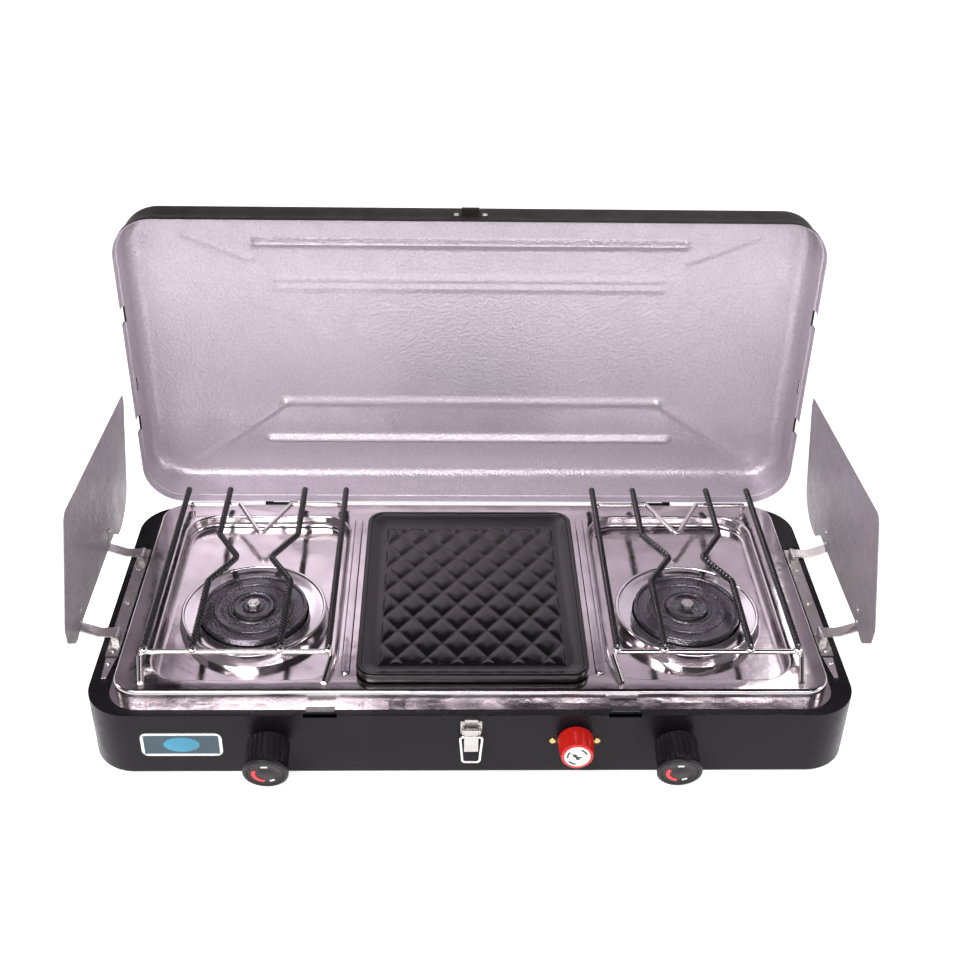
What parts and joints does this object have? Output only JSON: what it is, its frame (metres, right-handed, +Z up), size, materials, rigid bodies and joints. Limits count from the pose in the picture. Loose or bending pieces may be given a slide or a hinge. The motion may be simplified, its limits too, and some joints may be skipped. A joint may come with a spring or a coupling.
{
  "type": "camping stove",
  "caption": "Folding gas camping stove with a hinged lid, side windscreens, burners under lift-off pan supports and a removable griddle.",
  "frame": {"origin": "middle of the flat underside of the case, which the stove stands on", "axes": "+X to the right of a person facing the knobs, +Y to the back, +Z up"},
  "size_m": [0.6908, 0.3951, 0.3782],
  "materials": {
    "case_paint": "gloss black powder coat",
    "stainless": "fine brushed stainless",
    "polished_steel": "polished stainless",
    "burner_iron": "matt dark cast",
    "burner_cap": "satin with heat marks",
    "bright_nickel": "bright nickel plate",
    "black_bar": "satin black",
    "griddle_coat": "satin non-stick black",
    "lid_paint": "grey hammertone inside, dark brown-black outside",
    "screen_paint": "grey satin",
    "zinc": "zinc plate",
    "knob_plastic": "black moulded",
    "dial_plastic": "black with red and white marks",
    "igniter_red": "gloss red",
    "label_white": "white with plain marks",
    "brass": "bright brass",
    "ceramic": "glazed white ceramic",
    "wire_sleeve": "black sleeve",
    "badge_metal": "satin badge with a dark field",
    "pipe_metal": "zinc plated pipe"
  },
  "bodies": {
    "case": {"case_shell": "case_paint", "cooktop_panel": "stainless", "cooktop_clips": "black_bar", "manifold_pipe": "pipe_metal", "gas_inlet": "brass", "igniter_body": "knob_plastic", "igniter_eyelets": "brass", "igniter_wires": "wire_sleeve", "electrodes": "ceramic", "burner_nuts": "zinc", "hinge_leaves_case": "case_paint", "hinge_pins": "zinc", "hinge_rivets": "zinc", "latch_base": "zinc", "latch_pin": "zinc", "latch_rivets": "zinc", "badge_plate": "badge_metal", "windscreen_brackets": "zinc", "windscreen_pins": "zinc", "windscreen_screws": "zinc", "windscreen_stops": "bright_nickel", "bowl_left": "polished_steel", "burner_pot_left": "burner_iron", "burner_rings_left": "burner_iron", "burner_cap_left": "burner_cap", "valve_left": "brass", "mixing_tube_left": "pipe_metal", "bowl_right": "polished_steel", "burner_pot_right": "burner_iron", "burner_rings_right": "burner_iron", "burner_cap_right": "burner_cap", "valve_right": "brass", "mixing_tube_right": "pipe_metal"},
    "lid": {"lid_shell": "lid_paint", "lid_catch": "zinc", "lid_catch_rivets": "zinc", "hinge_leaves_lid": "case_paint"},
    "griddle": {"griddle": "griddle_coat"},
    "igniter_knob": {"igniter_knob": "igniter_red", "igniter_label": "label_white", "igniter_shaft": "brass"},
    "latch_lever": {"latch_lever": "zinc"},
    "latch_bail": {"latch_bail": "bright_nickel"},
    "windscreen_left": {"windscreen_plate_left": "screen_paint", "windscreen_arms_left": "zinc", "windscreen_rivets_left": "zinc"},
    "grate_left": {"grate_frame_left": "bright_nickel", "grate_bars_left": "black_bar"},
    "knob_left": {"knob_left": "knob_plastic", "knob_dial_left": "dial_plastic", "valve_stem_left": "brass"},
    "windscreen_right": {"windscreen_plate_right": "screen_paint", "windscreen_arms_right": "zinc", "windscreen_rivets_right": "zinc"},
    "grate_right": {"grate_frame_right": "bright_nickel", "grate_bars_right": "black_bar"},
    "knob_right": {"knob_right": "knob_plastic", "knob_dial_right": "dial_plastic", "valve_stem_right": "brass"}
  },
  "joints": [
    {"name": "lid_hinge", "type": "hinge", "parent": "case", "child": "lid", "pos_m": [0, 0.1557, 0.0665], "axis": [-1, 0, 0], "range_deg": [-90, 0]},
    {"name": "griddle_lift", "type": "slide", "parent": "case", "child": "griddle", "axis": [0, 0, 1], "range_m": [0, 0.08]},
    {"name": "igniter_turn", "type": "hinge", "parent": "case", "child": "igniter_knob", "pos_m": [0.086, -0.152, 0.042], "axis": [0, 1, 0], "range_deg": [0, 80], "stiffness_Nm_per_rad": 0.05},
    {"name": "latch_lever_swing", "type": "hinge", "parent": "case", "child": "latch_lever", "pos_m": [-0.0015, -0.157, 0.053], "axis": [1, 0, 0], "range_deg": [-110, 0]},
    {"name": "latch_bail_swing", "type": "hinge", "parent": "latch_lever", "child": "latch_bail", "pos_m": [-0.0015, -0.158, 0.0475], "axis": [1, 0, 0], "range_deg": [-65, 0]},
    {"name": "windscreen_left_fold", "type": "hinge", "parent": "case", "child": "windscreen_left", "pos_m": [-0.3135, 0, 0.071], "axis": [0, -1, 0], "range_deg": [-84.5, 0]},
    {"name": "grate_left_lift", "type": "slide", "parent": "case", "child": "grate_left", "axis": [0, 0, 1], "range_m": [0, 0.08]},
    {"name": "knob_left_turn", "type": "hinge", "parent": "case", "child": "knob_left", "pos_m": [-0.17, -0.152, 0.043], "axis": [0, -0.9781, -0.2079], "range_deg": [0, 180]},
    {"name": "windscreen_right_fold", "type": "hinge", "parent": "case", "child": "windscreen_right", "pos_m": [0.3135, 0, 0.071], "axis": [0, 1, 0], "range_deg": [-84.5, 0]},
    {"name": "grate_right_lift", "type": "slide", "parent": "case", "child": "grate_right", "axis": [0, 0, 1], "range_m": [0, 0.08]},
    {"name": "knob_right_turn", "type": "hinge", "parent": "case", "child": "knob_right", "pos_m": [0.17, -0.152, 0.043], "axis": [0, -0.9781, -0.2079], "range_deg": [0, 180]}
  ]
}
